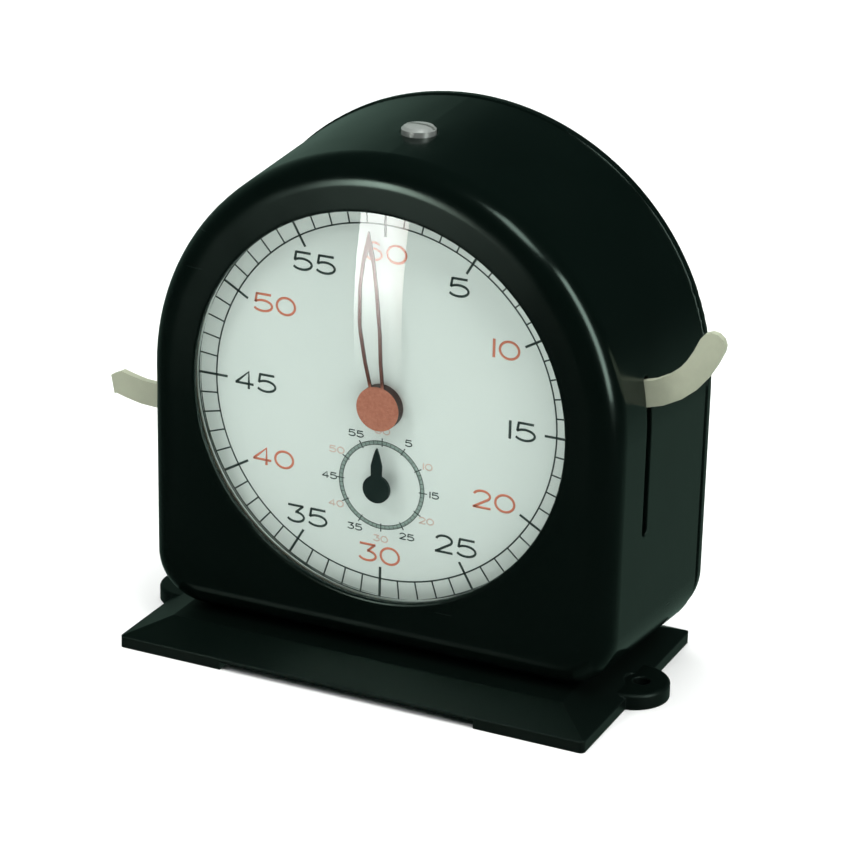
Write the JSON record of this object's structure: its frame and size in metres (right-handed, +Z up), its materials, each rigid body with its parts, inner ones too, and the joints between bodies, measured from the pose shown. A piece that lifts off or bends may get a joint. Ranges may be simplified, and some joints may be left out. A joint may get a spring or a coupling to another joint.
{
  "type": "laboratory seconds timer",
  "caption": "Clockwork laboratory timer: moulded round-topped case on a bevelled plinth, domed glass, sweep seconds hand over a minute recorder, and a rocker lever through both sides.",
  "frame": {"origin": "midway between the two ear screw holes, on the standing plane", "axes": "+Z up, the dial faces -Y, +X to the reader's right"},
  "size_m": [0.167, 0.0828, 0.138],
  "materials": {
    "phenolic": "glossy black compression-moulded phenolic",
    "nickel": "satin-bright nickel plate",
    "glass": "clear domed glass",
    "polished_ring": "polished",
    "dial_white": "silvery white lacquer with printed numerals",
    "cork": "thin dark packing ring",
    "copper_hand": "copper-red lacquer",
    "slate_hand": "dark slate lacquer",
    "brass": "lacquered sheet brass",
    "steel": "turned bright steel",
    "spring_steel": "blued spring steel"
  },
  "bodies": {
    "case": {"case_shell": "phenolic", "rear_cover": "phenolic", "rear_cover_screws": "nickel", "top_screw": "nickel", "crystal_gasket": "cork", "crystal": "glass", "flange_ring": "polished_ring", "dial_plate": "dial_white", "dial_feet": "brass", "dial_feet_screws": "steel", "front_plate": "brass", "back_plate": "brass", "plate_pillars": "brass", "pillar_screws": "steel", "movement_screws": "steel", "top_bracket": "steel", "bracket_screw": "steel", "lever_pivot_screw": "steel", "detent_spring": "spring_steel", "detent_screw": "steel", "click_screw": "steel", "click_spring": "spring_steel", "recorder_bridge": "brass", "bridge_posts": "brass", "bridge_screws": "steel"},
    "rocker": {"rocker_lever": "nickel", "brake_finger": "steel"},
    "seconds": {"seconds_hand": "copper_hand", "centre_arbor": "steel", "centre_wheel": "brass", "set_knob": "phenolic"},
    "second_set": {"second_wheel": "brass", "second_arbor": "steel"},
    "barrel": {"mainspring_barrel": "brass", "barrel_lid": "brass", "mainspring": "spring_steel"},
    "winding": {"barrel_arbor": "steel", "ratchet_wheel": "steel", "winding_key": "nickel"},
    "click_lever": {"click": "steel"},
    "escape": {"escape_wheel": "brass", "escape_arbor": "steel"},
    "pallets": {"pallet_lever": "steel"},
    "balance": {"balance_wheel": "brass", "balance_staff": "steel", "hairspring": "spring_steel"},
    "recorder": {"recorder_wheel": "brass", "recorder_arbor": "steel"},
    "minutes": {"minute_hand": "slate_hand", "minute_wheel": "brass", "minute_arbor": "steel"}
  },
  "joints": [
    {"name": "seconds_spin", "type": "hinge", "parent": "case", "child": "seconds", "pos_m": [0, 0, 0.071], "axis": [0, 1, 0], "continuous": true},
    {"name": "rocker_tilt", "type": "hinge", "parent": "case", "child": "rocker", "pos_m": [0, 0, 0.065], "axis": [0, 1, 0], "range_deg": [0, 21]},
    {"name": "second_spin", "type": "hinge", "parent": "case", "child": "second_set", "pos_m": [-0.01516, 0, 0.07975], "axis": [0, 1, 0], "continuous": true},
    {"name": "barrel_spin", "type": "hinge", "parent": "case", "child": "barrel", "pos_m": [-0.01857, 0, 0.05549], "axis": [0, 1, 0], "continuous": true},
    {"name": "winding_turn", "type": "hinge", "parent": "case", "child": "winding", "pos_m": [-0.01857, 0, 0.05549], "axis": [0, 1, 0], "continuous": true},
    {"name": "click_lift", "type": "hinge", "parent": "case", "child": "click_lever", "pos_m": [-0.02056, 0, 0.06681], "axis": [0, 1, 0], "range_deg": [0, 8], "stiffness_Nm_per_rad": 0.0004},
    {"name": "escape_spin", "type": "hinge", "parent": "case", "child": "escape", "pos_m": [0.01445, 0, 0.08112], "axis": [0, 1, 0], "continuous": true},
    {"name": "pallet_rock", "type": "hinge", "parent": "case", "child": "pallets", "pos_m": [0.0248, 0, 0.07512], "axis": [0, 1, 0], "range_deg": [-3, 3]},
    {"name": "balance_swing", "type": "hinge", "parent": "case", "child": "balance", "pos_m": [0.028, 0, 0.06102], "axis": [0, 1, 0], "range_deg": [-150, 150], "stiffness_Nm_per_rad": 0.000022},
    {"name": "recorder_spin", "type": "hinge", "parent": "case", "child": "recorder", "pos_m": [-0.01449, 0, 0.05546], "axis": [0, 1, 0], "continuous": true},
    {"name": "minute_spin", "type": "hinge", "parent": "case", "child": "minutes", "pos_m": [0, 0, 0.05], "axis": [0, 1, 0], "continuous": true}
  ],
  "couplings": [
    {"joint": "second_spin", "follows": "seconds_spin", "ratio": -0.16667},
    {"joint": "barrel_spin", "follows": "seconds_spin", "ratio": 0.027778},
    {"joint": "escape_spin", "follows": "seconds_spin", "ratio": -6},
    {"joint": "recorder_spin", "follows": "seconds_spin", "ratio": -0.13333},
    {"joint": "minute_spin", "follows": "seconds_spin", "ratio": 0.016667}
  ]
}
